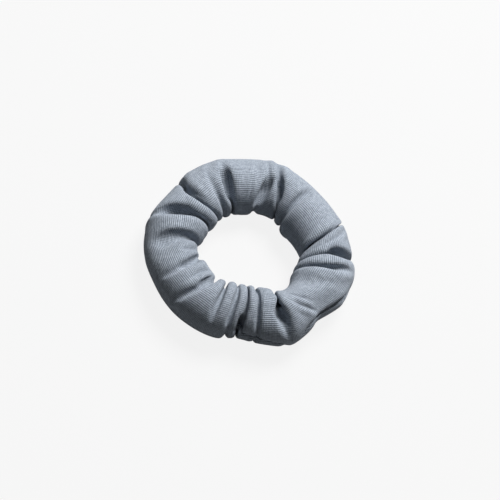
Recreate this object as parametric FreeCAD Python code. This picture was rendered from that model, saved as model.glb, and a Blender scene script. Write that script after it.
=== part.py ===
import FreeCAD, Part
import math
import os

"""A fabric hair scrunchie: a jersey sleeve gathered over a loop of flat elastic.

The sleeve is one strip of cloth. Its long edges are sewn together inside, which makes a tube,
and its two ends are sewn together inside at the closing seam, which makes a ring. A loop of flat
braided elastic runs through the tube, its ends lapped and sewn with a zigzag. Every seam is a
lockstitch, so it has a needle thread on one side and a bobbin thread on the other.

The frame: +Z up, the ring lies flat on z = 0, and the origin is the middle of the ring on that
plane. Ring angles run from +X towards +Y. The ring stretches along X, so the sleeve is cut
into a left half and a right half where it crosses the YZ plane.

Section coordinates: a point inside the tube is given by its ring angle, its distance from the
middle of the tube, and its section angle, which is 0 outwards, 90 up and 180 towards the ring's
middle.
"""

# Driving dimensions, in millimetres and degrees
RING_RADIUS = 39.0          # middle of the ring to the middle of the tube
TUBE_RADIUS = 13.5          # outside of the gathered tube
UNDERSIDE_FLAT = 1.5        # how much of the round section is pressed flat where it lies
CLOTH = 0.9                 # thickness of the jersey
BODY_GAP = 0.1              # clearance between the two halves at rest

LONG_SEAM_ANGLE = 225.0     # section angle of the tube's lengthwise seam
LONG_ALLOWANCE = 5.0        # how far the strip's long edges reach into the tube
SLIT = 0.1                  # gap between the two edges, where the cloth isn't joined by itself
CLOSING_SEAM_AT = 24.0      # ring angle of the seam that closes the ring
CLOSING_ALLOWANCE = 4.0     # how far the strip's turned-in ends reach into the tube

ELASTIC_RADIUS = 33.0       # middle of the elastic's thickness to the middle of the ring
ELASTIC_THICKNESS = 1.0
ELASTIC_WIDTH = 6.0
LAP_GAP = 0.1               # between the two layers of the lap
LAP_LENGTH = 12.0
LAP_AT = 60.0               # ring angle of the middle of the lap
LAP_RAMP = 19.0             # degrees over which the upper end climbs onto the lower one
LAP_EASE = 5.0              # how strongly each end of that climb keeps to the ring's direction

THREAD_RADIUS = 0.15
STITCH = 3.0                # length of one stitch along a seam
STITCH_GAP = 0.06           # share of a stitch's length that is free at each end, at the needle hole
LOCK_GAP = 0.2              # from the seam plane to the end of each stitch's arch
THREAD_GAP = 0.05           # between the middle of a stitch and the cloth or elastic it crosses
LONG_SEAM_DISTANCE = 11.8   # of the lengthwise seam line from the middle of the tube
CLOSING_SEAM_DISTANCE = 10.4    # the same for the closing seam
ZIGZAG_STEP = 1.5           # along the elastic, from one needle hole to the next
ZIGZAG_HALF_WIDTH = 2.0

# Worked out from the above
TUBE_Z = TUBE_RADIUS - UNDERSIDE_FLAT
LEFT_HALF_START = 90.0      # ring angles where the sleeve is cut into its two halves
LEFT_HALF_END = 270.0
GAP_ANGLE = math.degrees(BODY_GAP / RING_RADIUS)
CLOTH_ANGLE = math.degrees(CLOTH / RING_RADIUS)
LAP_SHIFT = ELASTIC_THICKNESS + LAP_GAP
LAP_HALF_ANGLE = math.degrees(LAP_LENGTH / ELASTIC_RADIUS) / 2
Z_AXIS = FreeCAD.Vector(0, 0, 1)
ORIGIN = FreeCAD.Vector(0, 0, 0)


def ring_point(ring_angle, radius, z):
    """A point at this radius from the middle of the ring."""
    turn = math.radians(ring_angle)
    return FreeCAD.Vector(radius * math.cos(turn), radius * math.sin(turn), z)


def tube_point(ring_angle, distance, section_angle, aside=0.0):
    """A point in the tube's section, moved aside at right angles to its own section angle."""
    turn = math.radians(section_angle)
    out = distance * math.cos(turn) - aside * math.sin(turn)
    up = distance * math.sin(turn) + aside * math.cos(turn)
    return ring_point(ring_angle, RING_RADIUS + out, TUBE_Z + up)


def along_ring(ring_angle):
    """The direction in which the ring runs there."""
    turn = math.radians(ring_angle)
    return FreeCAD.Vector(-math.sin(turn), math.cos(turn), 0)


# The sleeve's sections, drawn at ring angle 0

def flattened_disc(radius, inset=0.0):
    """A disc of the tube's section, cut flat at the bottom, inset above the plane that it lies on."""
    drop = TUBE_Z - inset
    half_flat = math.degrees(math.acos(drop / radius))
    start, end = 270 + half_flat, 270 - half_flat
    left, right = tube_point(0, radius, end), tube_point(0, radius, start)
    arc = Part.Arc(right, tube_point(0, radius, 90), left).toShape()
    flat = Part.LineSegment(left, right).toShape()
    return Part.Face(Part.Wire([arc, flat]))


def strip_face(inner, outer, half_width, aside=0.0):
    """A straight band in the section, along the long seam's section angle."""
    ends = [(inner, -half_width), (outer, -half_width), (outer, half_width), (inner, half_width)]
    corners = [tube_point(0, distance, LONG_SEAM_ANGLE, aside + side) for distance, side in ends]
    return Part.Face(Part.makePolygon(corners + corners[:1]))


def slit_face():
    """The gap between the strip's two long edges, from the middle of the tube right through its wall."""
    return strip_face(0.0, TUBE_RADIUS + CLOTH, SLIT / 2)


def sleeve_section():
    """The strip of cloth seen end on: a ring of cloth whose two edges turn inwards side by side."""
    wall = flattened_disc(TUBE_RADIUS).cut(flattened_disc(TUBE_RADIUS - CLOTH, CLOTH))
    middle_of_wall = TUBE_RADIUS - CLOTH / 2
    edges = strip_face(middle_of_wall - LONG_ALLOWANCE, middle_of_wall, CLOTH + SLIT / 2)
    return wall.fuse(edges).cut(slit_face()).removeSplitter().Faces[0]


def turned_end_section():
    """The end of the tube, turned inwards: a flat ring of cloth across the section."""
    middle_of_wall = TUBE_RADIUS - CLOTH / 2
    edge = TUBE_RADIUS - CLOTH - CLOSING_ALLOWANCE
    rim = Part.Circle(tube_point(0, 0, 0), along_ring(0), edge).toShape()
    hole = Part.Face(Part.Wire([rim]))
    return flattened_disc(middle_of_wall, CLOTH / 2).cut(hole).cut(slit_face()).removeSplitter()


def swept_round(section, start, end):
    """A section turned about the ring's middle from one ring angle to another."""
    solids = []
    for face in section.Faces:
        placed = face.copy()
        placed.rotate(ORIGIN, Z_AXIS, start)
        solids.append(placed.revolve(ORIGIN, Z_AXIS, end - start))
    return solids


def sleeve_piece(start, end, closed_at=None):
    """A stretch of sleeve. closed_at is the end that is turned in at the closing seam."""
    piece = swept_round(sleeve_section(), start, end)[0]
    if closed_at is None:
        return piece
    inwards = CLOTH_ANGLE if closed_at == start else -CLOTH_ANGLE
    low, high = sorted((closed_at, closed_at + inwards))
    return piece.fuse(swept_round(turned_end_section(), low, high)).removeSplitter().Solids[0]


# The elastic

def elastic_edge(side):
    """One face's outline, side being how far it is from the middle of the thickness."""
    start = LAP_AT - LAP_HALF_ANGLE
    ramp_start = start + 360 - LAP_RAMP
    lap_start, lap_end = start + 360, start + 360 + 2 * LAP_HALF_ANGLE
    near, far = ELASTIC_RADIUS + side, ELASTIC_RADIUS + side + LAP_SHIFT

    def arc(radius, first, last):
        points = [ring_point(angle, radius, 0) for angle in (first, (first + last) / 2, last)]
        return Part.Arc(*points).toShape()

    middle = ring_point((ramp_start + lap_start) / 2, (near + far) / 2, 0)
    ramp = Part.BSplineCurve()
    ramp.interpolate(
        Points=[ring_point(ramp_start, near, 0), middle, ring_point(lap_start, far, 0)],
        InitialTangent=along_ring(ramp_start) * LAP_EASE,
        FinalTangent=along_ring(lap_start) * LAP_EASE,
    )
    return [arc(near, start, ramp_start), ramp.toShape(), arc(far, lap_start, lap_end)]


def elastic_band():
    """One length of flat elastic bent into a ring, its upper end lying on its lower end."""
    half = ELASTIC_THICKNESS / 2
    inner, outer = elastic_edge(-half), elastic_edge(half)
    starts = [edge.valueAt(edge.FirstParameter) for edge in (inner[0], outer[0])]
    ends = [edge.valueAt(edge.LastParameter) for edge in (inner[-1], outer[-1])]
    cut_ends = [Part.LineSegment(*starts).toShape(), Part.LineSegment(*ends).toShape()]
    face = Part.Face(Part.Wire(Part.__sortEdges__(inner + outer + cut_ends)))
    face.translate(FreeCAD.Vector(0, 0, TUBE_Z - ELASTIC_WIDTH / 2))
    return face.extrude(FreeCAD.Vector(0, 0, ELASTIC_WIDTH))


# The threads: each stitch is an arch of thread from one needle hole to the next

def stitch(start, crown, end):
    """An arch of thread from one needle hole, over the crown, to the next."""
    path = Part.Arc(start, crown, end).toShape()
    along = path.tangentAt(path.FirstParameter)
    profile = Part.Wire([Part.Circle(start, along, THREAD_RADIUS).toShape()])
    return Part.Wire([path]).makePipeShell([profile], True, True)


def long_seam_thread(start, end, side):
    """The lengthwise seam's stitches between two ring angles, on one side of the seam allowance."""
    reach = side * (SLIT / 2 + CLOTH + THREAD_RADIUS + THREAD_GAP)
    margin = 2 * CLOTH_ANGLE
    seam_radius = (tube_point(0, LONG_SEAM_DISTANCE, LONG_SEAM_ANGLE) - ORIGIN).x
    room = math.radians(end - start - 2 * margin) * seam_radius
    count = int(room / STITCH)
    step = (end - start - 2 * margin) / count

    def hole(angle, aside):
        return tube_point(angle, LONG_SEAM_DISTANCE, LONG_SEAM_ANGLE, aside)

    stitches = []
    for i in range(count):
        first = start + margin + i * step
        ends = (first + step * STITCH_GAP, first + step * (1 - STITCH_GAP))
        near = side * LOCK_GAP
        stitches.append(stitch(hole(ends[0], near), hole(first + step / 2, reach), hole(ends[1], near)))
    return Part.makeCompound(stitches)


def closing_seam_thread(side):
    """The closing seam's stitches, round the tube's section, on one side of its plane."""
    reach = side * math.degrees((CLOTH + THREAD_RADIUS + THREAD_GAP) / RING_RADIUS)
    near = side * math.degrees(LOCK_GAP / RING_RADIUS)
    count = int(2 * math.pi * CLOSING_SEAM_DISTANCE / STITCH)
    step = 360 / count

    def hole(section_angle, turned):
        return tube_point(CLOSING_SEAM_AT + turned, CLOSING_SEAM_DISTANCE, section_angle)

    stitches = []
    for i in range(count):
        # Stitches start just past the lengthwise seam, so that none crosses its allowance
        first = LONG_SEAM_ANGLE + i * step
        ends = (first + step * STITCH_GAP, first + step * (1 - STITCH_GAP))
        stitches.append(stitch(hole(ends[0], near), hole(first + step / 2, reach), hole(ends[1], near)))
    return Part.makeCompound(stitches)


def lap_thread(side):
    """The zigzag through both layers of the elastic's lap, on one face of it."""
    between = ELASTIC_RADIUS + LAP_SHIFT / 2
    reach = side * (LAP_SHIFT / 2 + ELASTIC_THICKNESS / 2 + THREAD_RADIUS + THREAD_GAP)
    step = math.degrees(ZIGZAG_STEP / ELASTIC_RADIUS)
    count = int(2 * LAP_HALF_ANGLE / step) - 1
    first = LAP_AT - count * step / 2

    def hole(angle, aside, up):
        return ring_point(angle, between + aside, TUBE_Z + up * ZIGZAG_HALF_WIDTH)

    stitches = []
    for i in range(count):
        up = 1 if i % 2 else -1
        low = first + (i + STITCH_GAP) * step
        high = first + (i + 1 - STITCH_GAP) * step
        near = side * LOCK_GAP
        crown = hole((low + high) / 2, reach, 0)
        stitches.append(stitch(hole(low, near, up), crown, hole(high, near, -up)))
    return Part.makeCompound(stitches)


def sleeve_stretches():
    """The sleeve's three nodes: name, first and last ring angle, and the end that is turned in."""
    seam = CLOSING_SEAM_AT
    return [
        ("middle", LEFT_HALF_START, LEFT_HALF_END, None),
        ("first_end", seam, LEFT_HALF_START - GAP_ANGLE, seam),
        ("last_end", LEFT_HALF_END - 360 + GAP_ANGLE, seam, seam),
    ]


def build():
    nodes = {}
    for name, start, end, closed_at in sleeve_stretches():
        nodes["sleeve_" + name] = sleeve_piece(start, end, closed_at)
        nodes["long_seam_needle_thread_" + name] = long_seam_thread(start, end, 1)
        nodes["long_seam_bobbin_thread_" + name] = long_seam_thread(start, end, -1)
    nodes["closing_seam_needle_thread"] = closing_seam_thread(1)
    nodes["closing_seam_bobbin_thread"] = closing_seam_thread(-1)
    nodes["elastic_band"] = elastic_band()
    nodes["elastic_lap_needle_thread"] = lap_thread(1)
    nodes["elastic_lap_bobbin_thread"] = lap_thread(-1)
    return nodes


os.makedirs("parts", exist_ok=True)
for node, shape in build().items():
    shape.exportStep(os.path.join("parts", node + ".step"))
    valid = all(solid.isValid() and solid.isClosed() for solid in shape.Solids)
    print(f"{node}: {len(shape.Solids)} solids, valid {valid}, {shape.Volume:.1f} mm3")
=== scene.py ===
"""A jersey scrunchie: the sleeve is one strip of cloth, gathered over its elastic by a small cloth
solver and then sewn. Lengths are in millimetres until a mesh is made.

The cloth is a grid: its first index runs round the ring along the strip, its second round the tube
across the strip. Ring angles run from +X towards +Y. Section angles are 0 outwards, 90 up and 180
towards the ring's middle.
"""

import math
from collections import namedtuple

import bpy
import numpy as np
from mathutils import Matrix, Vector


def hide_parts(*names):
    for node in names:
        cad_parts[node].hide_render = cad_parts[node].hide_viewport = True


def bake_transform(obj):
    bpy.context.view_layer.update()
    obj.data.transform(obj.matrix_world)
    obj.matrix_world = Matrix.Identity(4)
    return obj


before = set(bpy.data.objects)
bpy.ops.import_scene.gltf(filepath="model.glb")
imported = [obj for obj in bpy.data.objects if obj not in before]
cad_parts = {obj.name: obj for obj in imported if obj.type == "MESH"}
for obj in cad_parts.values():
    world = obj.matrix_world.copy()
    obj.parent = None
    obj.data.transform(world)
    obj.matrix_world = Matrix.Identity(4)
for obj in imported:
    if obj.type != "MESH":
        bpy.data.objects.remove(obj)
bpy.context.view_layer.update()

MM = 0.001

# The CAD's own dimensions
RING_RADIUS = 39.0
TUBE_Z = 12.0               # height of the middle of the tube
LONG_SEAM_ANGLE = 225.0
ELASTIC_RADIUS = 33.0
ELASTIC_THICKNESS = 1.0
ELASTIC_WIDTH = 6.0
LAP_LENGTH = 12.0
LAP_AT = 60.0
LAP_RAMP = 19.0
LAP_GAP = 0.1
THREAD_RADIUS = 0.15
STITCH = 3.0
ZIGZAG_STEP = 1.5
ZIGZAG_HALF_WIDTH = 2.0

# The cloth
CLOTH = 0.8                 # thickness
TUBE_GIRTH = 84.0           # of the sleeve, from seam to seam
ALLOWANCE_SHOWN = 4.0       # how far it stands up inside the tube, the rest being pressed back
COARSE_GRID = (320, 64)
FINE_GRID = (464, 88)

# The mould that the cloth may not leave: its radius, and how far its outer and inner
# walls bulge past that, as (ring angle, bulge)
MOULD_RADIUS = 13.6
OUTER_BULGE = [
    (10, 2), (21, -1.5), (33, 0.5), (43, -2), (62, -2), (82, 0), (91, 3), (101, 2.5), (115, 0),
    (129, 2), (138, 1), (148, 0), (157, -3), (169, -3), (183, -0.5), (195, 1.5), (222, -0.5),
    (243, 0.5), (261, 0), (271, -0.5), (280, -5), (290, -3), (300, -1), (310, 2), (320, 1),
    (330, -5), (342, -2), (352, 1.5),
]
INNER_BULGE = [
    (21, -1), (36, 1.5), (50, 4), (63, 3.5), (77, -1.5), (92, -1.5), (103, -0.5), (110, 2), (118, 0.5),
    (129, 2), (141, 1.5), (150, 3.5), (162, 5), (176, 4.5), (185, 4), (195, -1), (213, -3), (225, -0.5),
    (235, -1), (251, -2), (260, 0), (271, 2), (284, 3), (299, 1.5), (308, -1.5), (318, -3.5), (329, -3),
    (339, -1), (350, 2),
]

# The folds across the tube, in order round the ring: name, spare cloth at the outer wall, share of
# the panel beside it, lean of its bottom to one side, how firmly the gathering holds it, and the
# width of its mouth and its ring angle at each of FOLD_SECTIONS
FOLD_SECTIONS = [-40, 0, 45, 90, 135, 180, 225]
Fold = namedtuple("Fold", "name spare share lean hold mouths angles")
FOLDS = [
    Fold("closing_seam", 0.3, 0.8, 0.0, 0.8, [1, 1, 1, 1, 1, 1, 1], [45, 43, 36, 30, 22, 17, 17]),
    Fold("north_east", 0.0, 0.9, 0.0, 0.5, [3, 4, 5, 5, 5, 4, 3], [61, 62, 63, 65, 67, 69, 69]),
    Fold("north_3", 0.2, 1.0, 0.3, 0.7, [1, 2, 3, 4, 4, 2, 2], [93, 94, 93, 88, 82, 78, 77]),
    Fold("north_2", 0.8, 0.9, 0.0, 0.9, [1, 1, 1, 3, 6, 4, 3], [101, 101, 98, 95, 97, 101, 101]),
    Fold("north_1", 0.3, 1.0, 0.0, 0.7, [1, 2, 3, 5, 6, 4, 3], [128, 128, 129, 131, 133, 128, 126]),
    Fold("north_0", 0.0, 0.5, 0.0, 0.6, [1, 1, 1, 2, 3, 2, 2], [141, 141, 143, 146, 147, 139, 137]),
    Fold("north_west", 3.0, 1.0, 0.7, 0.7, [2, 3, 5, 6, 6, 3, 2], [155, 156, 157, 165, 164, 150, 144]),
    Fold("west_valley", 0.3, 1.0, 0.0, 0.6, [3, 4, 7, 8, 6, 3, 2], [186, 185, 184, 182, 179, 170, 166]),
    Fold("west_pool", 0.2, 1.0, -0.4, 0.6, [4, 8, 13, 11, 5, 2, 2], [204, 204, 207, 205, 202, 200, 196]),
    Fold("west_1", 0.0, 1.0, 0.0, 0.6, [1, 1, 2, 3, 3, 2, 2], [228, 228, 229, 229, 223, 217, 215]),
    Fold("west_2", 0.0, 0.8, 0.0, 0.6, [1, 1, 1, 3, 3, 2, 2], [238, 238, 239, 239, 240, 237, 236]),
    Fold("south_west", 0.8, 0.8, 0.3, 0.6, [3, 5, 6, 6, 3, 2, 2], [240, 240, 244, 250, 252, 250, 250]),
    Fold("corner", 0.3, 0.6, 0.0, 0.7, [1, 1, 2, 3, 3, 2, 2], [266, 265, 264, 263, 261, 259, 259]),
    Fold("gather_a", 3.0, 1.0, 0.0, 1.0, [2, 2, 4, 4, 4, 3, 2], [274, 274, 273, 273, 272, 269, 268]),
    Fold("gather_b", 6.0, 1.0, 0.0, 1.0, [6, 6, 5, 4, 4, 2, 2], [280, 280, 281, 282, 282, 279, 278]),
    Fold("gather_c", 1.5, 1.0, 0.0, 1.0, [1, 2, 3, 4, 4, 2, 2], [291, 291, 290, 290, 291, 290, 290]),
    Fold("south_east", 2.0, 1.0, 0.8, 0.8, [2, 3, 6, 10, 9, 5, 3], [306, 306, 304, 303, 307, 311, 312]),
    Fold("lip", 0.0, 0.6, 0.3, 0.7, [1, 1, 1, 2, 3, 2, 2], [367, 367, 364, 358, 354, 353, 353]),
    Fold("pocket", 7.0, 1.0, 0.2, 0.8, [3, 5, 9, 11, 11, 6, 3], [376, 376, 374, 371, 366, 362, 362]),
]
FOLD_DEPTH_TOP = 7.0        # the deepest that a fold may be at the outer wall
FOLD_DEPTH_INSIDE = 5.5     # and at the inner wall
FOLD_SHALLOWEST = 1.0       # which a fold keeps in front of the elastic
FOLD_ROUNDING = 0.7         # spread of the bell curve that rounds a fold
WIDEST_MOUTH = 1.2          # of a fold, in halves of its panel
FULL_CREASE = 4.0           # spare cloth from which a fold counts as fully creased
CREASE_REACH = 1.5          # of a crease from the fold's bottom, in sides of the fold
HOLD_REACH = 1.6            # where the hold on a fold starts to weaken, and how fast
HOLD_FADE = 0.6
INNER_SQUASH = 0.25         # share by which the knit is pushed together along the inner wall
INNER_SQUASH_POWER = 1.5    # how sharply that sets in
ELASTIC_CLEARANCE = 1.5     # from the middle of the cloth to the middle of the elastic
FACING_FROM = 0.5           # cosine from which the cloth counts as facing the elastic
FACING_SPREAD = 0.3
LAYING_MARGIN = 0.3         # between the laid cloth and the mould
LAYING_STEPS = 4000         # places at which a row of the laid cloth is worked out
DEPTH_BLURS = 2             # rounds of evening out across the strip
HOLD_BLURS = 6
HALVINGS = 30               # of the range in which a fold's depth is looked for
TINY = 1e-6                 # keeps a division from failing


# The mould and the folds laid out in it

BELL_REACH = 3.5            # where a bell curve is cut off, in spreads
BULGE_SMOOTHING = 3.5       # in degrees round the ring
SECTION_SMOOTHING = 9.0     # in degrees round the tube
BULGE_SHARE = 0.9
BULGE_SPREAD = 0.7          # power of the cosine with which a bulge fades towards the top
OUTER_WALL_FROM = 0.85      # cosine of the section angle where the outer wall starts


def smoothed(values, spread):
    """A periodic list of values, averaged with a bell curve this many entries wide."""
    reach = int(BELL_REACH * spread)
    bell = np.exp(-0.5 * (np.arange(-reach, reach + 1) / spread) ** 2)
    padded = np.concatenate([values[-reach:], values, values[:reach]])
    return np.convolve(padded, bell / bell.sum(), "valid")


def every_degree(table):
    """A table of (ring angle, value) as 360 smoothed values, one per degree."""
    angles, values = np.array(table, float).T
    return smoothed(np.interp(np.arange(360.0), angles, values, period=360), BULGE_SMOOTHING)


OUTER_BY_DEGREE = every_degree(OUTER_BULGE)
INNER_BY_DEGREE = every_degree(INNER_BULGE)


def mould_radius(ring, outwards):
    """The tube's radius at a ring angle; outwards is the section angle's cosine."""
    degrees = np.degrees(ring) % 360
    outer = np.interp(degrees, np.arange(360), OUTER_BY_DEGREE, period=360)
    inner = np.interp(degrees, np.arange(360), INNER_BY_DEGREE, period=360)
    bulge = outer * np.maximum(outwards, 0) ** BULGE_SPREAD
    bulge = bulge + inner * np.maximum(-outwards, 0) ** BULGE_SPREAD
    return MOULD_RADIUS + BULGE_SHARE * bulge


def round_section(knots, sections):
    """A value given at FOLD_SECTIONS, smoothly at each of these section angles."""
    around = np.arange(FOLD_SECTIONS[0], FOLD_SECTIONS[0] + 360.0)
    values = np.interp(around, FOLD_SECTIONS + [FOLD_SECTIONS[0] + 360], knots + knots[:1])
    return np.interp(sections, around, smoothed(values, SECTION_SMOOTHING), period=360)


def panels(sections):
    """Each fold's ring angle, its panel's start and end, its mouth, and the cloth that its panel has."""
    at = np.radians([round_section(fold.angles, sections) for fold in FOLDS])
    mouths = np.array([round_section(fold.mouths, sections) for fold in FOLDS])
    share = np.array([fold.share for fold in FOLDS])[:, None]
    after = np.concatenate([at[1:], at[:1] + 2 * math.pi])
    share_after = np.roll(share, -1, 0)
    end = (at * share_after + after * share) / (share + share_after)
    start = np.concatenate([end[-1:] - 2 * math.pi, end[:-1]])
    outwards = np.cos(np.radians(sections))[None]
    arc = (end - start) * (RING_RADIUS + mould_radius(end, outwards) * outwards)
    near_outer_wall = outwards[0] > OUTER_WALL_FROM
    cloth = arc[:, near_outer_wall].mean(1) + np.array([fold.spare for fold in FOLDS])
    return at, start, end, mouths, cloth


def knit_kept(outwards):
    """Share of its length that the knit keeps along the strip, at this cosine of the section angle."""
    return 1 - INNER_SQUASH * np.maximum(0, -outwards) ** INNER_SQUASH_POWER


def blurred(grid, axis):
    """A periodic grid, each value averaged with the two beside it."""
    return (np.roll(grid, 1, axis) + 2 * grid + np.roll(grid, -1, axis)) / 4


def fold_shape(mouth, spare, lean):
    """Depth of a fold whose two sides are its mouth and its spare cloth together, and its first side."""
    near, far = mouth / 2 * (1 + lean), mouth / 2 * (1 - lean)
    low, high = 0.0, mouth + spare
    for _ in range(HALVINGS):
        depth = (low + high) / 2
        if math.hypot(near, depth) + math.hypot(far, depth) < mouth + spare:
            low = depth
        else:
            high = depth
    return depth, math.hypot(near, depth)


def fold_row(section, at, start, end, mouths, cloth, columns):
    """One row of the cloth along the strip: its ring angles, fold depths, creases and hold."""
    outwards = math.cos(math.radians(section))
    squash = knit_kept(outwards)
    deepest = FOLD_DEPTH_INSIDE + (FOLD_DEPTH_TOP - FOLD_DEPTH_INSIDE) * math.sqrt((1 + outwards) / 2)
    facing_elastic = min(1.0, max(0.0, (-outwards - FACING_FROM) / FACING_SPREAD))
    length = cloth.sum()
    fine = np.linspace(0, length, LAYING_STEPS + 1)[:-1]
    knots, angles = [], []
    depth, crease, held = np.zeros_like(fine), np.zeros_like(fine), np.zeros_like(fine)
    reached = 0.0
    for fold, at_ring, first, last, mouth, given in zip(FOLDS, at, start, end, mouths, cloth):
        wall = float(mould_radius(at_ring, outwards))
        radius = RING_RADIUS + wall * outwards
        before, after = (at_ring - first) * radius, (last - at_ring) * radius
        spare = given * squash - before - after
        knots.append(reached)
        angles.append(first)
        if spare > 0:
            mouth = min(mouth, WIDEST_MOUTH * before, WIDEST_MOUTH * after)
            limit = wall - (RING_RADIUS - ELASTIC_RADIUS + ELASTIC_CLEARANCE)
            limit = deepest + facing_elastic * (min(deepest, max(limit, FOLD_SHALLOWEST)) - deepest)
            bottom, leg = fold_shape(mouth, spare, fold.lean)
            opens = reached + (before - mouth / 2) / squash
            middle, closes = opens + leg / squash, opens + (mouth + spare) / squash
            knots += [opens, middle, closes]
            angles += [at_ring + side * mouth / 2 / radius for side in (-1, fold.lean, 1)]
            side_length = np.where(fine < middle, middle - opens, closes - middle)
            away = np.abs(fine - middle) / side_length
            depth += min(bottom, limit) * np.clip(1 - away, 0, 1)
            crease += np.clip(spare, 0, FULL_CREASE) / FULL_CREASE * np.clip(CREASE_REACH - away, 0, 1)
            held = np.maximum(held, fold.hold * np.clip(HOLD_REACH - HOLD_FADE * away, 0, 1))
        reached += given
    knots.append(length)
    angles.append(start[0] + 2 * math.pi)
    spread = FOLD_ROUNDING / (length / len(fine))
    drift = smoothed(np.interp(fine, knots, angles) - fine / length * 2 * math.pi, spread)
    rows = (drift, smoothed(depth, spread), smoothed(crease, spread), held)
    drift, depth, crease, held = (np.interp(columns, fine, row, period=length) for row in rows)
    return drift + columns / length * 2 * math.pi, depth, crease, held


def folded_cloth(grid):
    """The cloth laid into the mould with all its folds, and what the solver needs to know of it."""
    around, across = grid
    sections = np.arange(across) * 360 / across
    *layout, cloth = panels(sections)
    columns = np.arange(around) * cloth.sum() / around
    rows = [
        fold_row(sections[j], *(part[:, j] for part in layout), cloth, columns)
        for j in range(across)
    ]
    ring, depth, crease, held = (np.stack(parts, 1) for parts in zip(*rows))
    for _ in range(DEPTH_BLURS):
        depth = blurred(depth, 1)
    section = np.radians(sections)[None]
    radius = mould_radius(ring, np.cos(section)) - LAYING_MARGIN - depth
    out = RING_RADIUS + radius * np.cos(section)
    height = np.maximum(TUBE_Z + radius * np.sin(section), CLOTH / 2)
    points = np.stack([out * np.cos(ring), out * np.sin(ring), height], -1).astype(np.float32)
    for _ in range(HOLD_BLURS):
        for axis in (0, 1):
            held = blurred(held, axis)
    return points, crease, held.astype(np.float32), cloth.sum()


# The cloth solver: position-based dynamics on the grid. Stiffness is the share of an error that one
# round puts right

MOTION_KEPT = 0.8
WEIGHT = 0.003              # fall in one step
PRESSURE = 0.008            # push outwards in one step
ROUNDS = 5                  # of constraints in one step
PAIRS_EVERY = 4             # steps between two searches for near pairs
PAIRS_MARGIN = 0.6          # by which that search reaches past the gap
NEIGHBOURS = 2              # grid steps within which points aren't pushed apart
APART_STIFFNESS = 0.8
STRETCH_STIFFNESS = 0.9
SHEAR_STIFFNESS = 0.4
PUSH_ALONG = 0.6            # share of the stiffness that is left against being pushed together
PUSH_ACROSS = 0.08
PUSH_SHEAR = 0.1
BENDING = ((2, 0.1), (4, 0.06), (8, 0.02))      # grid steps apart, and stiffness
BENDING_ACROSS = 0.3        # share of that across the strip
HELD_SOFTNESS = 0.9         # share of the bending stiffness that a held fold loses
SMOOTHING_ALONG = 0.1
SMOOTHING_ACROSS = 0.5
ZIGZAG_BEND = 16            # the fourth difference of a zigzag one unit high
ELASTIC_EDGE = 0.4          # from the elastic's edge to where its clearance starts

# One run of the solver: its steps, the pull towards the laid shape at its start and end, how hard
# the mould is, the gap that the cloth keeps from itself, and how far the strip has grown at its start
Stage = namedtuple("Stage", "steps pull_from pull_to mould_hardness gap grown_from")
GROWING = Stage(60, 0.25, 0.15, 1.0, 1.25, 0.0)
SETTLING = Stage(60, 0.15, 0.15, 0.5, 1.25, 1.0)
FINISHING = Stage(16, 0.1, 0.1, 0.5, 1.05, 1.0)
PANEL_PULL = 0.3            # share of the pull that a panel feels once it has grown
CREASE_FREEDOM = 0.5        # share of the pull that a full crease is spared


def shifted(grid, along, across):
    return np.roll(grid, (-along, -across), (0, 1))


def lengths(vectors):
    return np.sqrt(np.einsum("ijk,ijk->ij", vectors, vectors)) + TINY


def normals(points):
    """Unit normals, which point out of the tube."""
    along = shifted(points, 1, 0) - shifted(points, -1, 0)
    across = shifted(points, 0, 1) - shifted(points, 0, -1)
    normal = np.cross(along, across)
    return normal / lengths(normal)[..., None]


def keep_length(points, along, across, rest, stiffness, against_push=1.0):
    """Pulls every pair of points this far apart in the grid to its length at rest."""
    reach = shifted(points, along, across) - points
    error = 1 - rest / lengths(reach)
    error = np.where(error < 0, error * against_push, error) * stiffness / 2
    reach = reach * error[..., None].astype(np.float32)
    points += reach
    points -= shifted(reach, -along, -across)


def near_pairs(points, reach):
    """Pairs of points nearer than reach that aren't neighbours in the grid."""
    around, across = points.shape[:2]
    flat = points.reshape(-1, 3)
    cell = np.floor(flat / reach).astype(np.int64)
    cell -= cell.min(0)
    size = cell.max(0) + 3
    key = (cell[:, 0] * size[1] + cell[:, 1]) * size[2] + cell[:, 2]
    order = np.argsort(key, kind="stable")
    key = key[order]
    cells, first, count = np.unique(key, return_index=True, return_counts=True)
    steps = [(x, y, z) for x in (-1, 0, 1) for y in (-1, 0, 1) for z in (-1, 0, 1)]
    found = []
    for step in (s for s in steps if s >= (0, 0, 0)):
        wanted = key + (step[0] * size[1] + step[1]) * size[2] + step[2]
        place = np.searchsorted(cells, wanted)
        place[place == len(cells)] = 0
        source = np.nonzero(cells[place] == wanted)[0]
        many = count[place[source]]
        within = np.arange(many.sum()) - np.repeat(np.cumsum(many) - many, many)
        a = np.repeat(source, many)
        b = np.repeat(first[place[source]], many) + within
        if step == (0, 0, 0):
            a, b = a[a < b], b[a < b]
        a, b = order[a], order[b]
        apart_along = np.abs(a // across - b // across)
        apart_across = np.abs(a % across - b % across)
        apart_along = np.minimum(apart_along, around - apart_along)
        apart_across = np.minimum(apart_across, across - apart_across)
        gap = flat[a] - flat[b]
        keep = (np.maximum(apart_along, apart_across) > NEIGHBOURS) & ((gap ** 2).sum(1) < reach ** 2)
        found.append((a[keep], b[keep]))
    return [np.concatenate(side) for side in zip(*found)]


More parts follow.
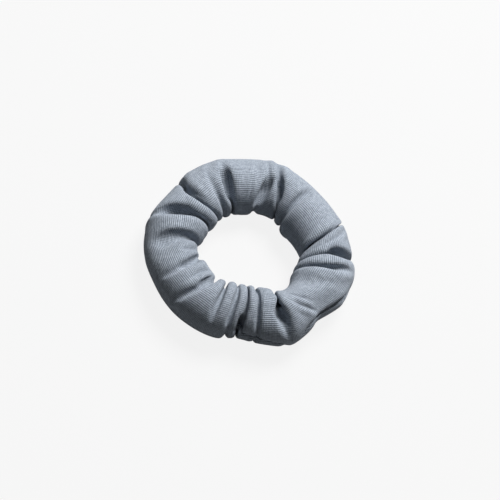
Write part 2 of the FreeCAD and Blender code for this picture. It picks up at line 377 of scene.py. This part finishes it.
def keep_apart(points, pairs, gap):
    """Pushes the cloth out of itself."""
    flat = points.reshape(-1, 3)
    a, b = pairs
    between = flat[a] - flat[b]
    distance = np.sqrt((between ** 2).sum(1)) + TINY
    close = distance < gap
    a, b, between, distance = a[close], b[close], between[close], distance[close]
    between *= (APART_STIFFNESS / 2 * (gap - distance) / distance)[:, None]
    touching = np.bincount(a, minlength=len(flat)) + np.bincount(b, minlength=len(flat))
    shared = np.sqrt(np.maximum(touching, 1))
    for k in range(3):
        push = np.bincount(a, between[:, k], len(flat)) - np.bincount(b, between[:, k], len(flat))
        flat[:, k] += (push / shared).astype(np.float32)


def keep_off_elastic(points):
    """Pushes the cloth away from the elastic's edges and faces."""
    half_width = ELASTIC_WIDTH / 2 - ELASTIC_EDGE
    out = np.hypot(points[..., 0], points[..., 1])
    up = points[..., 2] - TUBE_Z
    from_band = up - np.clip(up, -half_width, half_width)
    aside = out - ELASTIC_RADIUS
    distance = np.hypot(aside, from_band) + TINY
    push = np.maximum(ELASTIC_CLEARANCE - distance, 0) / distance
    points[..., 0] *= 1 + aside * push / out
    points[..., 1] *= 1 + aside * push / out
    points[..., 2] += from_band * push


def keep_in_mould(points, hardness):
    """Pushes the cloth back inside the mould and up onto the surface that it lies on."""
    out = np.hypot(points[..., 0], points[..., 1])
    aside, up = out - RING_RADIUS, points[..., 2] - TUBE_Z
    distance = np.hypot(aside, up) + TINY
    limit = mould_radius(np.arctan2(points[..., 1], points[..., 0]), aside / distance)
    push = np.minimum(limit - distance, 0) * hardness / distance
    points[..., 0] *= 1 + aside * push / out
    points[..., 1] *= 1 + aside * push / out
    points[..., 2] = np.maximum(points[..., 2] + up * push, CLOTH / 2)


def second_difference(grid, axis):
    return np.roll(grid, 1, axis) - 2 * grid + np.roll(grid, -1, axis)


def smooth_bends(points, axis, strength):
    """Evens out changes of curvature along one direction of the grid. Strength 1 flattens a
    zigzag."""
    bend = second_difference(points, axis)
    points -= np.float32(strength / ZIGZAG_BEND) * second_difference(bend, axis)


def settle(points, stage, length, guide, guided, held):
    """Runs one stage. guided is how much each point feels the guide's pull; length is the strip's."""
    around, across = points.shape[:2]
    full = (length / around * knit_kept(np.cos(np.arange(across) * 2 * math.pi / across)))[None, :]
    first = lengths(shifted(points, 1, 0) - points)
    row = TUBE_GIRTH / across
    softness = 1 - HELD_SOFTNESS * held
    previous = points.copy()
    for step in range(stage.steps):
        done = (step + 1) / stage.steps
        grown = stage.grown_from + (1 - stage.grown_from) * done
        rest = (first * (1 - grown) + full * grown).astype(np.float32)
        diagonal = np.sqrt(rest ** 2 + row ** 2)
        motion = (points - previous) * np.float32(MOTION_KEPT)
        previous = points.copy()
        points += motion
        points[..., 2] -= np.float32(WEIGHT)
        points += normals(points) * np.float32(PRESSURE)
        pull = stage.pull_from + (stage.pull_to - stage.pull_from) * done
        points += (guide - points) * (pull * guided)[..., None].astype(np.float32)
        if step % PAIRS_EVERY == 0:
            pairs = near_pairs(points, stage.gap + PAIRS_MARGIN)
        for _ in range(ROUNDS):
            keep_length(points, 1, 0, rest, STRETCH_STIFFNESS, PUSH_ALONG)
            keep_length(points, 0, 1, row, STRETCH_STIFFNESS, PUSH_ACROSS)
            for aslant in (1, -1):
                keep_length(points, 1, aslant, diagonal, SHEAR_STIFFNESS, PUSH_SHEAR)
            for far, stiffness in BENDING:
                along = sum(shifted(rest, i, 0) for i in range(far))
                keep_length(points, far, 0, along, stiffness * softness)
                keep_length(points, 0, far, row * far, BENDING_ACROSS * stiffness * softness)
            smooth_bends(points, 1, SMOOTHING_ACROSS)
            smooth_bends(points, 0, SMOOTHING_ALONG)
            keep_off_elastic(points)
            keep_apart(points, pairs, stage.gap)
            keep_in_mould(points, stage.mould_hardness)
    return points


def on_curves(grid, place):
    """The grid at these fractional first indices, one list for each second index, on smooth
    (Catmull-Rom) curves."""
    had = len(grid)
    index = np.floor(place).astype(int)
    t = (place - index)[..., None]
    weights = (
        -0.5 * t ** 3 + t ** 2 - 0.5 * t,
        1.5 * t ** 3 - 2.5 * t ** 2 + 1,
        -1.5 * t ** 3 + 2 * t ** 2 + 0.5 * t,
        0.5 * t ** 3 - 0.5 * t ** 2,
    )
    parts = [np.take_along_axis(grid, ((index + k - 1) % had)[..., None], 0) for k in range(4)]
    return sum(weight * part for weight, part in zip(weights, parts))


def resampled(grid, size):
    """A periodic grid at another size."""
    for wanted in size:
        place = np.arange(wanted) * len(grid) / wanted
        grid = on_curves(grid, np.repeat(place[:, None], grid.shape[1], 1))
        grid = np.swapaxes(grid, 0, 1)
    return np.ascontiguousarray(grid, np.float32)


def gathered_cloth():
    """The sleeve's cloth at rest: laid into its folds, grown to its full length and let go."""
    points, crease, held, length = folded_cloth(COARSE_GRID)
    panel = 1 - CREASE_FREEDOM * np.clip(crease, 0, 1)
    guide = points.copy()
    points = settle(points, GROWING, length, guide, np.maximum(panel, held), held)
    points = settle(points, SETTLING, length, guide, np.maximum(PANEL_PULL * panel, held), held)
    points = resampled(points, FINE_GRID)
    held = resampled(held[..., None], FINE_GRID)[..., 0]
    points = settle(points, FINISHING, length, points.copy(), np.maximum(PANEL_PULL, held), held)
    return points, length


# Small creases that the hands and the lying surface leave: name, depth, half width, and the path as
# (ring angle, section angle) points
DENTS = [
    ("flap", 3.0, 1.3, [(361, 2), (352, 11), (344, 20), (331, 24), (322, 19), (316, 0)]),
    ("over_flap", -0.8, 2.5, [(356, 25), (344, 35), (331, 39), (322, 34)]),
    ("underside_south", 2.3, 1.5, [(314, -15), (304, -12), (294, -5), (285, 2), (277, 12)]),
    ("underside_south_west", 1.2, 0.9, [(266, -18), (250, -14), (234, -10), (216, -6)]),
    ("pocket_floor", 3.0, 3.0, [(14, 92), (13, 74), (13, 50)]),
    ("wedge_floor", 1.5, 3.5, [(300, 80), (304, 66), (307, 50)]),
    ("seam_edge", -1.2, 1.8, [(36, 62), (33, 90), (27, 130), (22, 160)]),
    ("under_lip", 1.8, 4.0, [(336, 128), (338, 105), (345, 84)]),
    ("west_pool_floor", 3.0, 7.5, [(206, 42), (209, 60), (212, 78)]),
    ("west_valley_floor", 2.0, 3.2, [(185, 46), (182, 75), (180, 110)]),
    ("north_1_floor", 4.0, 2.3, [(130, 82), (132, 108), (133, 142)]),
    ("north_2_floor", 4.0, 2.4, [(94, 100), (98, 135), (101, 165)]),
    ("north_puff", -1.5, 6.0, [(114, 100), (112, 150)]),
    ("north_corner", -1.2, 3.0, [(94, -14), (94, 20)]),
    ("north_3_floor", 1.4, 1.8, [(88, 85), (84, 110), (81, 140)]),
    ("north_west_floor", 1.6, 2.4, [(161, 70), (163, 95), (163, 125)]),
    ("west_wrinkle_1", 2.3, 1.5, [(219, 156), (226, 125), (229, 98), (229, 72)]),
    ("west_wrinkle_2", 2.3, 1.5, [(240, 140), (239, 110), (240, 76)]),
    ("west_wrinkle_3", 2.0, 1.3, [(247, 140), (247, 110), (246, 80)]),
    ("west_wrinkle_4", 1.5, 1.3, [(212, 150), (215, 125), (216, 100)]),
    ("gather_a_floor", 1.5, 1.2, [(273, 120), (273, 80), (273, 30)]),
    ("gather_b_floor", 3.0, 1.4, [(280, 60), (280, 30), (280, -5)]),
    ("gather_notch_1", 0.9, 0.7, [(276, 152), (277, 134), (277, 116)]),
    ("gather_notch_2", 1.1, 0.7, [(288, 150), (288, 120), (287, 88)]),
    ("gather_notch_3", 0.8, 0.7, [(295, 150), (294, 125), (293, 104)]),
    ("north_notch", 0.8, 0.8, [(112, 152), (111, 130), (110, 108)]),
]
PATH_SPOTS = 40             # along the path of a crease
PATH_ROUNDING = 3           # spots each way that its corners are averaged over


def dent_line(path):
    """The ring and section angles of spots along a crease's path, its corners rounded."""
    knots = np.array(path, float)
    spots = np.linspace(0, len(path) - 1, PATH_SPOTS)
    window = 2 * PATH_ROUNDING + 1
    line = []
    for k in (0, 1):
        padded = np.pad(np.interp(spots, np.arange(len(path)), knots[:, k]), PATH_ROUNDING, "edge")
        line.append(np.convolve(padded, np.ones(window) / window, "valid"))
    return np.stack(line, 1)


def creased(points):
    """Presses the small creases into the cloth."""
    out = np.hypot(points[..., 0], points[..., 1])
    ring = np.degrees(np.arctan2(points[..., 1], points[..., 0]))
    section = np.degrees(np.arctan2(points[..., 2] - TUBE_Z, out - RING_RADIUS))
    dent = np.zeros(out.shape)
    for _, depth, half_width, path in DENTS:
        line = dent_line(path)
        pressed = np.zeros(out.shape)
        for number, (at_ring, at_section) in enumerate(line):
            across = np.radians((ring - at_ring + 180) % 360 - 180) * out
            around = np.radians((section - at_section + 180) % 360 - 180) * MOULD_RADIUS
            fade = math.sin(math.pi * (number + 1) / (len(line) + 1)) ** 0.5
            pressed = np.maximum(pressed, fade * np.exp(-(across ** 2 + around ** 2) / half_width ** 2))
        dent += depth * pressed
    points = points - normals(points) * dent[..., None]
    points[..., 2] = np.maximum(points[..., 2], CLOTH / 2)
    return points


# Meshes

def linked(name, mesh):
    piece = bpy.data.objects.new(name, mesh)
    bpy.context.scene.collection.objects.link(piece)
    return piece


def grid_mesh(name, points, tube=False, chart=None):
    """A mesh of quads from a grid of points in millimetres. A tube is closed round its section and
    has both its ends capped. chart gives each point's place in the flat cloth."""
    rows, columns = points.shape[:2]
    number = np.arange(rows * columns).reshape(rows, columns)
    if tube:
        number = np.concatenate([number, number[:, :1]], 1)
    corners = (number[:-1, :-1], number[1:, :-1], number[1:, 1:], number[:-1, 1:])
    quads = np.stack(corners, -1).reshape(-1, 4)
    faces = quads.tolist()
    if tube:
        faces += [number[0, -2::-1].tolist(), number[-1, :-1].tolist()]
    mesh = bpy.data.meshes.new(name)
    mesh.from_pydata((points.reshape(-1, 3) * MM).tolist(), [], faces)
    mesh.polygons.foreach_set("use_smooth", np.ones(len(faces), bool))
    if chart is not None:
        layer = mesh.uv_layers.new(name="Cloth")
        layer.data.foreach_set("uv", chart.reshape(-1, 2)[quads.ravel()].astype(np.float32).ravel())
    mesh.update()
    return mesh


def units(vectors):
    """The vectors, each one long."""
    return vectors / np.linalg.norm(vectors, axis=-1, keepdims=True)


# A turned-in edge's rows: how far each lies beside the seam line and below it
TURN_SIDES = [0.95, 0.85, 0.75, 0.46, 0.44]
TURN_DROPS = [0.08, 0.45, 1.20, 2.30, ALLOWANCE_SHOWN]
SEAM_PULL = 0.3             # how far the closing seam's stitches pull the cloth in
SEAM_PULL_WIDTH = 1.4
SEAM_SMOOTHING = 2.0        # of a seam's line, in rows of the cloth


def turned_in(edge, inside, outward):
    """The rows of a turned-in edge, from the seam line down into the tube."""
    along = inside - edge
    along -= outward * (along * outward).sum(-1, keepdims=True)
    along = units(along)
    return [edge + along * side - outward * drop for side, drop in zip(TURN_SIDES, TURN_DROPS)]


def with_turned_edges(strip, outward, chart):
    """The strip with its first and last two rows, which lie at a seam line, replaced by turned-in
    edges."""
    count = len(TURN_DROPS)
    start = turned_in(strip[0], strip[1], outward[0])[::-1]
    end = turned_in(strip[-1], strip[-2], outward[-1])
    steps = np.hypot(np.diff(TURN_SIDES), np.diff(TURN_DROPS))
    spare = np.concatenate([[0], np.cumsum(steps)]) - TURN_SIDES[0]
    step_in, step_out = units(chart[1] - chart[0]), units(chart[-1] - chart[-2])
    chart_start = [chart[0] - step_in * reach for reach in spare[::-1]]
    chart_end = [chart[-1] + step_out * reach for reach in spare]
    strip = np.concatenate([start, strip[2:-2], end])
    outward = np.concatenate([[outward[0]] * count, outward[2:-2], [outward[-1]] * count])
    return strip, outward, np.concatenate([chart_start, chart[2:-2], chart_end])


def seam_columns(across, around, length):
    """The fractional column of the closing seam in each row."""
    columns = []
    sections = np.arange(across) * 360 / across
    at, start, end, _, cloth = panels(sections)
    for j, section in enumerate(sections):
        outwards = math.cos(math.radians(section))
        radius = RING_RADIUS + mould_radius(at[0, j], outwards) * outwards
        before, after = (at[0, j] - start[0, j]) * radius, (end[0, j] - at[0, j]) * radius
        columns.append(before / (before + after) * cloth[0] / length * around)
    return smoothed(np.array(columns), SEAM_SMOOTHING)


def sleeve_strip(points, length):
    """The periodic cloth as one open strip, cut at its two seams, with its edges turned in."""
    around, across = points.shape[:2]
    seam_row = int(round(LONG_SEAM_ANGLE / 360 * across))
    seams = seam_columns(across, around, length)
    place = np.arange(around)[:, None] + seams[None]
    closed = np.roll(on_curves(points.astype(float), place), -seam_row, 1)
    outward = normals(closed)
    from_seam = np.minimum(np.arange(around), around - np.arange(around)) * length / around
    pulled_in = SEAM_PULL * np.exp(-(from_seam / SEAM_PULL_WIDTH) ** 2)
    closed = closed - outward * pulled_in[:, None, None]
    closed[..., 2] = np.maximum(closed[..., 2], CLOTH / 2)
    rows = np.repeat(np.arange(across + 1)[None] * TUBE_GIRTH / across, around + 1, 0)
    along = np.arange(around + 1)[:, None] + np.roll(seams, -seam_row)[None]
    along = np.concatenate([along, along[:, :1]], 1) * length / around
    strip, outward = (np.concatenate([grid, grid[:1]]) for grid in (closed, outward))
    strip, outward = (np.concatenate([grid, grid[:, :1]], 1) for grid in (strip, outward))
    layers = with_turned_edges(strip, outward, np.stack([along, rows], -1))
    layers = with_turned_edges(*(np.swapaxes(layer, 0, 1) for layer in layers))
    strip, _, chart = (np.swapaxes(layer, 0, 1) for layer in layers)
    return strip, chart, closed


def cloth_piece(name, strip, chart):
    """The strip as a piece of cloth with its real thickness."""
    piece = linked(name, grid_mesh(name, strip, chart=chart))
    solidify = piece.modifiers.new("thickness", "SOLIDIFY")
    solidify.thickness = CLOTH * MM
    solidify.offset = 0
    solidify.use_rim = True
    return piece


# The elastic and the threads

def elastic_radius(turned):
    """Middle of the elastic's thickness, this many degrees on from its lower end."""
    climb = np.clip((turned - (360 - LAP_RAMP)) / LAP_RAMP, 0, 1)
    return ELASTIC_RADIUS + (ELASTIC_THICKNESS + LAP_GAP) * climb ** 2 * (3 - 2 * climb)


ELASTIC_CORDS = 9
ELASTIC_POINTS = 560        # along its length
POINTS_PER_CORD = 6         # across it
CORD_RELIEF = 0.09
EDGE_THINNING = 0.7         # share of its thickness that it loses at its edges
EDGE_SQUARENESS = 14


def elastic_grid():
    """The braided band: its section, with one rib per cord, carried round the ring."""
    half_lap = math.degrees(LAP_LENGTH / ELASTIC_RADIUS) / 2
    turned = np.linspace(0, 360 + 2 * half_lap, ELASTIC_POINTS)
    ring = np.radians(LAP_AT - half_lap + turned)[:, None]
    spots = np.linspace(-1, 1, POINTS_PER_CORD * ELASTIC_CORDS + 1)
    relief = CORD_RELIEF * (np.abs(np.cos(spots * math.pi * ELASTIC_CORDS / 2)) - 1)
    thick = ELASTIC_THICKNESS / 2 * (1 - np.abs(spots) ** EDGE_SQUARENESS * EDGE_THINNING) + relief
    aside = np.concatenate([thick, -thick[::-1]])
    up = np.concatenate([spots, spots[::-1]]) * ELASTIC_WIDTH / 2
    radius = elastic_radius(turned)[:, None] + aside[None]
    height = np.broadcast_to(TUBE_Z + up, radius.shape)
    return np.stack([radius * np.cos(ring), radius * np.sin(ring), height], -1)


THREAD_SIDES = 8
POINTS_PER_STITCH = 12
STITCH_SQUARENESS = 5
LOCK_GAP = 0.02                             # between the holes' line and a thread in a hole
LOCK_ASIDE = THREAD_RADIUS + LOCK_GAP
THREAD_GAP = 0.05                           # between a stitch and what it lies on
HALF_GAP = 0.04                             # between a seam's two allowances
SEAM_DROP = 2.6                             # of the stitches below the outside of the cloth
BESIDE_ALLOWANCE = CLOTH + HALF_GAP + THREAD_RADIUS + THREAD_GAP
NOT_ALONG_A_SEAM = (0.3, 0.2, 0.9)          # a direction that no thread starts in


def tube_grid(path):
    """A thread's round tube along a path, its section turned as little as possible on the way."""
    ahead = units(np.gradient(path, axis=0))
    across = [units(np.cross(ahead[0], NOT_ALONG_A_SEAM))]
    for direction in ahead[1:]:
        across.append(units(across[-1] - direction * np.dot(across[-1], direction)))
    across = np.array(across)
    up = np.cross(ahead, across)
    angles = np.linspace(0, 2 * math.pi, THREAD_SIDES, endpoint=False)
    ring = across[:, None] * np.cos(angles)[None, :, None] + up[:, None] * np.sin(angles)[None, :, None]
    return path[:, None] + THREAD_RADIUS * ring


def thread_piece(name, path):
    return linked(name, grid_mesh(name, tube_grid(path), tube=True))


def away_from_holes(in_stitch, reach):
    """How far a thread lies from the line of its holes: from hole (0) to hole (1) of a stitch."""
    arch = 1 - np.abs(2 * in_stitch - 1) ** STITCH_SQUARENESS
    return LOCK_ASIDE + (reach - LOCK_ASIDE) * arch


def stitched(line, aside):
    """A lockstitch thread on one side of a seam's line of holes. aside is the unit direction to that
    side at each point of the line."""
    steps = np.concatenate([[0], np.cumsum(np.linalg.norm(np.diff(line, axis=0), axis=1))])
    count = max(1, int(steps[-1] / STITCH))
    places = np.linspace(0, steps[-1], count * POINTS_PER_STITCH + 1)
    middle = np.stack([np.interp(places, steps, line[:, k]) for k in range(3)], 1)
    side = np.stack([np.interp(places, steps, aside[:, k]) for k in range(3)], 1)
    in_stitch = np.arange(len(places)) % POINTS_PER_STITCH / POINTS_PER_STITCH
    return middle + side * away_from_holes(in_stitch, BESIDE_ALLOWANCE)[:, None]


def smoothed_line(line, spread):
    return np.stack([smoothed(line[:, k], spread) for k in range(3)], 1)


def seam_threads(closed):
    """The needle and bobbin threads of both seams. closed is the sleeve's periodic cloth, which
    starts at its two seams."""
    outward = normals(closed)
    seams = (
        ("long_seam", closed[:, 0], outward[:, 0], closed[:, 1] - closed[:, -1]),
        ("closing_seam", closed[0], outward[0], closed[1] - closed[-1]),
    )
    pieces = {}
    for name, line, out, side in seams:
        line = smoothed_line(line - out * SEAM_DROP, SEAM_SMOOTHING)
        for thread, sign in (("needle", 1), ("bobbin", -1)):
            path = stitched(line, sign * units(side))
            pieces[name, thread] = thread_piece(name + "_" + thread + "_thread_whole", path)
    return pieces


def lap_threads():
    """The zigzag through the elastic's lap, one thread on each face."""
    pieces = {}
    between = ELASTIC_RADIUS + (ELASTIC_THICKNESS + LAP_GAP) / 2
    step = math.degrees(ZIGZAG_STEP / ELASTIC_RADIUS)
    half_lap = math.degrees(LAP_LENGTH / ELASTIC_RADIUS) / 2
    count = int(2 * half_lap / step) - 1
    reach = (2 * ELASTIC_THICKNESS + LAP_GAP) / 2 + THREAD_RADIUS + THREAD_GAP
    places = np.linspace(0, count, count * POINTS_PER_STITCH + 1)
    ring = np.radians(LAP_AT + (places - count / 2) * step)
    zigzag = np.abs((places + 1) % 2 - 1) * 2 - 1
    for thread, sign in (("needle", 1), ("bobbin", -1)):
        radius = between + sign * away_from_holes(places % 1, reach)
        height = TUBE_Z + zigzag * ZIGZAG_HALF_WIDTH
        path = np.stack([radius * np.cos(ring), radius * np.sin(ring), height], -1)
        pieces[thread] = thread_piece("elastic_lap_" + thread + "_thread_whole", path)
    return pieces


# Materials

class Nodes:
    """Builds a material's node tree from short calls."""

    def __init__(self, name):
        self.material = bpy.data.materials.new(name)
        self.material.use_nodes = True
        self.tree = self.material.node_tree
        self.surface = self.tree.nodes["Principled BSDF"]

    def add(self, kind, inputs=(), **settings):
        """A node of this kind, its inputs given by index or name, its settings by name."""
        node = self.tree.nodes.new(kind)
        for setting, value in settings.items():
            setattr(node, setting, value)
        for key, value in dict(inputs).items():
            self.set(node.inputs[key], value)
        return node

    def set(self, socket, value):
        if isinstance(value, bpy.types.NodeSocket):
            self.tree.links.new(value, socket)
        else:
            socket.default_value = value

    def maths(self, operation, *values):
        node = self.add("ShaderNodeMath", enumerate(values), operation=operation)
        return node.outputs[0]

    def mix(self, factor, a, b):
        """A blend of two colours."""
        inputs = {0: factor, 6: a, 7: b}
        return self.add("ShaderNodeMix", inputs, data_type="RGBA").outputs[2]

    def scaled(self, low, high, value):
        """A value's range from low to high brought to 0 to 1, and clamped."""
        inputs = {"Value": value, "From Min": low, "From Max": high}
        return self.add("ShaderNodeMapRange", inputs).outputs[0]

    def noise(self, place, scale, detail):
        inputs = {"Vector": place, "Scale": scale, "Detail": detail}
        return self.add("ShaderNodeTexNoise", inputs).outputs[0]

    def bump(self, height, distance, strength):
        inputs = {"Height": height, "Distance": distance, "Strength": strength}
        return self.add("ShaderNodeBump", inputs).outputs[0]


def grey(level):
    return (level, level, level, 1.0)


WALE = 0.95                 # pitch of the knit's columns, which run along the strip
COURSE = 0.77               # pitch of its rows
STITCH_SLANT = 0.9          # of a stitch's legs, in rows
KNIT_WANDER = 0.6           # of the knit's lines, in millimetres
LOOP_CONTRAST = 0.16        # from stitch to stitch along a column
LEG_AT = 0.25               # of the column's width, from its middle to the middle of a leg
LEG_SHARE = 0.25            # of the stitches' look, the rest being the columns
FIBRE_SHARE = 0.55          # of the heather's look, the rest being broader flecks
CLOUD_CONTRAST = 0.12
# Painted shade and light on the knit: where the stitches' relief is low, in the grooves between columns
# and loops, the colour is darkened, and on their tops lightened
STITCH_SHADE_CONTRAST = 0.75
STITCH_SHADE_MIDDLE = 0.55        # which leaves the tone as it is
FIBRE_STRETCH = (1.3, 3.6, 1.0)     # of the pattern of the fibres
FIBRE_RELIEF = 0.35         # in the relief of the stitches
KNIT_RELIEF = 0.28          # in millimetres
DARK_TONE, MIDDLE_TONE, LIGHT_TONE = 0.20, 0.50, 0.80
JERSEY_DARK = (0.075, 0.086, 0.100, 1.0)
JERSEY_MIDDLE = (0.235, 0.268, 0.315, 1.0)
JERSEY_LIGHT = (0.420, 0.465, 0.530, 1.0)
THREAD_DARK = (0.12, 0.14, 0.17, 1.0)
THREAD_LIGHT = (0.30, 0.34, 0.40, 1.0)


def jersey():
    """Matt heathered jersey: columns of V-shaped stitches along the strip, with shade painted in their
    grooves.
    """
    n = Nodes("jersey")
    chart = n.add("ShaderNodeUVMap", uv_map="Cloth").outputs[0]
    wander = n.noise(chart, scale=0.12, detail=1.0)
    axes = n.add("ShaderNodeSeparateXYZ", {0: chart}).outputs
    shift = n.maths("MULTIPLY", n.maths("SUBTRACT", wander, 0.5), KNIT_WANDER)
    wale = n.maths("DIVIDE", n.maths("ADD", axes[1], shift), WALE)
    course = n.maths("DIVIDE", n.maths("ADD", axes[0], shift), COURSE)
    off_middle = n.maths("ABSOLUTE", n.maths("SUBTRACT", n.maths("FRACT", wale), 0.5))
    side = n.maths("MULTIPLY", off_middle, 2.0)
    column = n.maths("SUBTRACT", 1.0, n.maths("MULTIPLY", side, side))
    leg = n.maths("DIVIDE", n.maths("SUBTRACT", off_middle, LEG_AT), LEG_AT)
    strand = n.maths("SUBTRACT", 1.0, n.maths("MULTIPLY", leg, leg))
    slant = n.maths("MULTIPLY", off_middle, STITCH_SLANT)
    turns = n.maths("MULTIPLY", n.maths("ADD", course, slant), 2 * math.pi)
    loop = n.maths("MULTIPLY_ADD", n.maths("COSINE", turns), LOOP_CONTRAST, 1 - LOOP_CONTRAST)
    legs = n.maths("MULTIPLY_ADD", strand, LEG_SHARE, n.maths("MULTIPLY", column, 1 - LEG_SHARE))
    stitches = n.maths("MULTIPLY", legs, loop)
    stretched = n.add("ShaderNodeMapping", {0: chart, 3: FIBRE_STRETCH}).outputs[0]
    fibres = n.noise(stretched, scale=1.0, detail=3.0)
    heather = n.noise(chart, scale=0.55, detail=4.0)
    clouds = n.noise(chart, scale=0.045, detail=2.0)
    tone = n.maths("MULTIPLY_ADD", fibres, FIBRE_SHARE, n.maths("MULTIPLY", heather, 1 - FIBRE_SHARE))
    # The stitches' relief darkens the colour in the knit's grooves: painted shade
    for pattern, middle, contrast in (
        (clouds, 0.5, CLOUD_CONTRAST),
        (stitches, STITCH_SHADE_MIDDLE, STITCH_SHADE_CONTRAST),
    ):
        tone = n.maths("ADD", tone, n.maths("MULTIPLY", n.maths("SUBTRACT", pattern, middle), contrast))
    light = n.mix(n.scaled(MIDDLE_TONE, LIGHT_TONE, tone), JERSEY_MIDDLE, JERSEY_LIGHT)
    colour = n.mix(n.scaled(DARK_TONE, MIDDLE_TONE, tone), JERSEY_DARK, light)
    n.set(n.surface.inputs["Base Color"], colour)
    n.set(n.surface.inputs["Roughness"], 0.92)
    n.set(n.surface.inputs["Specular IOR Level"], 0.15)
    n.set(n.surface.inputs["Sheen Weight"], 0.15)
    n.set(n.surface.inputs["Sheen Roughness"], 0.6)
    n.set(n.surface.inputs["Sheen Tint"], (0.75, 0.80, 0.88, 1.0))
    height = n.maths("MULTIPLY_ADD", fibres, FIBRE_RELIEF, stitches)
    n.set(n.surface.inputs["Normal"], n.bump(height, distance=KNIT_RELIEF * MM, strength=0.9))
    return n.material


YARN_FIBRES = 2500.0        # scale of the noise that stands for the yarn's fibres


def braided(name, dark, light, pitch, relief):
    """Yarn laid at a slant, for the elastic and the threads."""
    n = Nodes(name)
    place = n.add("ShaderNodeTexCoord").outputs["Object"]
    waves = n.add(
        "ShaderNodeTexWave",
        {"Vector": place, "Scale": 1 / (pitch * MM * 2 * math.pi), "Distortion": 1.5, "Detail": 2.0},
        bands_direction="DIAGONAL",
    ).outputs[1]
    fibres = n.noise(place, scale=YARN_FIBRES, detail=3.0)
    tone = n.maths("MULTIPLY_ADD", fibres, 0.5, n.maths("MULTIPLY", waves, 0.5))
    n.set(n.surface.inputs["Base Color"], n.mix(n.scaled(0.25, 0.75, tone), dark, light))
    n.set(n.surface.inputs["Roughness"], 0.75)
    n.set(n.surface.inputs["Specular IOR Level"], 0.3)
    n.set(n.surface.inputs["Normal"], n.bump(tone, distance=relief * MM, strength=0.8))
    return n.material


# The scene: camera, floor and light

VIEW_ELEVATION = 55.0
VIEW_ROLL = 21.0
LENS = 86.0
VIEW_DISTANCE = 0.596
MIDDLE = Vector((0, 0, TUBE_Z * MM))
FLOOR_HALF = 3.0            # metres
FLOOR_GLOW = 1.02
FLOOR_GLOW_SHARE = 0.85     # of what the camera sees of the floor
SKY = 0.05


def add_camera():
    """Looks down at the ring from the photograph's angle."""
    camera = linked("camera", bpy.data.cameras.new("camera"))
    camera.data.lens = LENS
    elevation = math.radians(VIEW_ELEVATION)
    away = Vector((0, -math.cos(elevation), math.sin(elevation)))
    place = MIDDLE + away * VIEW_DISTANCE
    turn = (-away).to_track_quat("-Z", "Y").to_matrix().to_4x4()
    roll = Matrix.Rotation(math.radians(VIEW_ROLL), 4, "Z")
    camera.matrix_world = Matrix.Translation(place) @ turn @ roll
    bpy.context.scene.camera = camera


def add_light(name, place, size, power):
    light = bpy.data.lights.new(name, "AREA")
    light.size = size
    light.energy = power
    lamp = linked(name, light)
    lamp.location = place
    lamp.rotation_euler = (MIDDLE - lamp.location).to_track_quat("-Z", "Y").to_euler()


def add_floor():
    """A wide floor. To the camera most of it is an even pale glow, which keeps its shadows faint."""
    corners = [(x * FLOOR_HALF, y * FLOOR_HALF, 0) for x, y in ((-1, -1), (1, -1), (1, 1), (-1, 1))]
    mesh = bpy.data.meshes.new("floor")
    mesh.from_pydata(corners, [], [(0, 1, 2, 3)])
    floor = linked("floor", mesh)
    n = Nodes("floor")
    n.set(n.surface.inputs["Base Color"], grey(0.3))
    n.set(n.surface.inputs["Roughness"], 0.9)
    n.set(n.surface.inputs["Specular IOR Level"], 0.1)
    seen = n.add("ShaderNodeLightPath").outputs["Is Camera Ray"]
    glow = n.add("ShaderNodeEmission", {0: grey(FLOOR_GLOW)}).outputs[0]
    share = n.maths("MULTIPLY", seen, FLOOR_GLOW_SHARE)
    both = n.add("ShaderNodeMixShader", {0: share, 1: n.surface.outputs[0], 2: glow}).outputs[0]
    n.set(n.tree.nodes["Material Output"].inputs[0], both)
    mesh.materials.append(n.material)


def add_world():
    world = bpy.data.worlds.new("studio")
    world.use_nodes = True
    background = world.node_tree.nodes["Background"]
    background.inputs[0].default_value = (1.0, 1.0, 1.0, 1.0)
    background.inputs[1].default_value = SKY
    bpy.context.scene.world = world
    bpy.context.scene.view_settings.view_transform = "Standard"


# Putting it together

add_camera()
add_world()
add_floor()
add_light("key", place=(0.12, 0.50, 0.85), size=0.45, power=18.8)

points, length = gathered_cloth()
points = creased(points)
strip, chart, closed = sleeve_strip(points, length)

STRETCHES = ("middle", "first_end", "last_end")

sleeve = cloth_piece("sleeve", strip, chart)
sleeve.data.materials.append(jersey())
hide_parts(*("sleeve_" + stretch for stretch in STRETCHES))

elastic = linked("elastic", grid_mesh("elastic", elastic_grid(), tube=True))
elastic.data.materials.append(braided("elastic", grey(0.55), grey(0.85), pitch=0.8, relief=0.10))
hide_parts("elastic_band")

sewing = braided("thread", THREAD_DARK, THREAD_LIGHT, pitch=0.12, relief=0.02)
elastic_sewing = braided("elastic_thread", grey(0.60), grey(0.90), pitch=0.12, relief=0.02)
seams = seam_threads(closed)
for (seam, thread), piece in seams.items():
    piece.data.materials.append(sewing)
    node = seam + "_" + thread + "_thread"
    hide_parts(*([node] if seam == "closing_seam" else [node + "_" + s for s in STRETCHES]))
laps = lap_threads()
for thread, piece in laps.items():
    piece.data.materials.append(elastic_sewing)
    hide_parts("elastic_lap_" + thread + "_thread")

for piece in [sleeve, elastic, *seams.values(), *laps.values()]:
    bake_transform(piece)
